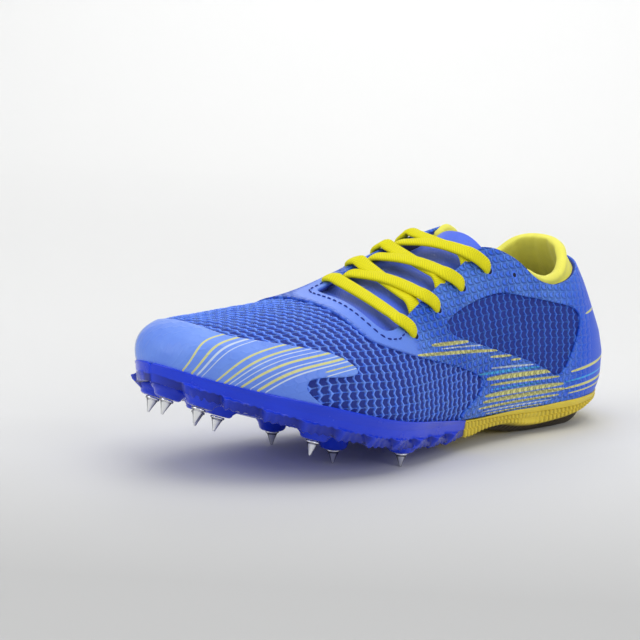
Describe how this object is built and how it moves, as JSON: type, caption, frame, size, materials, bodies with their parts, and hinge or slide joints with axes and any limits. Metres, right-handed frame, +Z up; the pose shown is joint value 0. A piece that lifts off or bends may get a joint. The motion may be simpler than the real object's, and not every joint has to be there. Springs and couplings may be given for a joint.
{
  "type": "track spike shoe",
  "caption": "Low-cut left running spike with a knit mesh upper, film overlays, laced throat, stiff spike plate and rubber heel.",
  "frame": {"origin": "middle of the flat spot under the heel, on the floor", "axes": "-Y towards the toe, +X towards the outer side of the foot, +Z up"},
  "size_m": [0.0978, 0.2843, 0.0964],
  "materials": {
    "mesh": "honeycomb knit, matt",
    "film": "thin satin film, embossed",
    "plate": "glossy moulded nylon",
    "heel_rubber": "moulded rubber, ribbed side",
    "lining": "soft padded knit",
    "tongue": "smooth thin textile",
    "insole": "flat brushed textile",
    "lace": "flat woven lace",
    "steel": "polished screw-in pins"
  },
  "bodies": {
    "root": {"upper": "mesh", "toe_film": "film", "quarter_film": "film", "collar_lining": "lining", "tongue": "tongue", "insole": "insole", "spike_plate": "plate", "heel_sole": "heel_rubber", "spike_1": "steel", "spike_2": "steel", "spike_3": "steel", "spike_4": "steel", "spike_5": "steel", "spike_6": "steel", "spike_7": "steel", "spike_8": "steel", "spike_9": "steel", "lace_bar": "lace", "lace_cross_1": "lace", "lace_cross_2": "lace", "lace_cross_3": "lace"}
  },
  "joints": []
}
